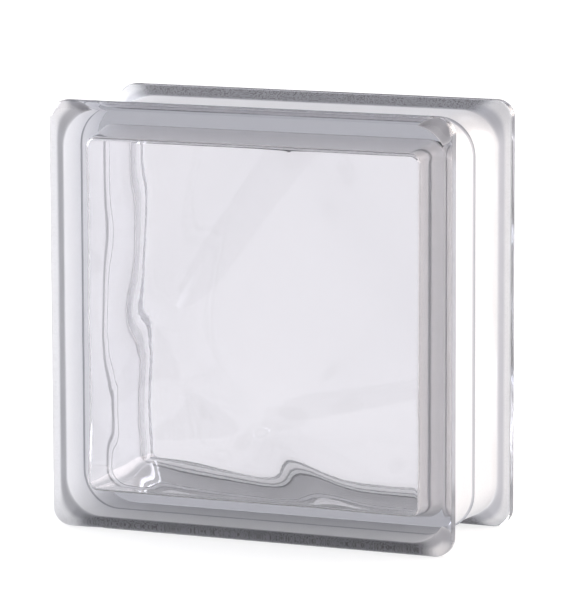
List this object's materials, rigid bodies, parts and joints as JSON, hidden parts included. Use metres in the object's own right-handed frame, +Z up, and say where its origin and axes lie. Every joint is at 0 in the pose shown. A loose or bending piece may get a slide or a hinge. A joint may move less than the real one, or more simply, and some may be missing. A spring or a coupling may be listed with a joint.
{
  "type": "glass block",
  "caption": "Square hollow glass building block: two pressed glass trays fused at a seam, with waved panes, edge lips and a mortar channel all round.",
  "frame": {"origin": "middle of the footprint, on the floor that the block stands on", "axes": "+X along the width, +Y through the block from the front face to the back face, +Z up"},
  "size_m": [0.19, 0.08, 0.19],
  "materials": {
    "glass": "clear pressed soda-lime glass, fire-polished, with a thin translucent white coat on the slopes and walls that the mortar grips"
  },
  "bodies": {
    "root": {"front_half": "glass", "back_half": "glass"}
  },
  "joints": []
}
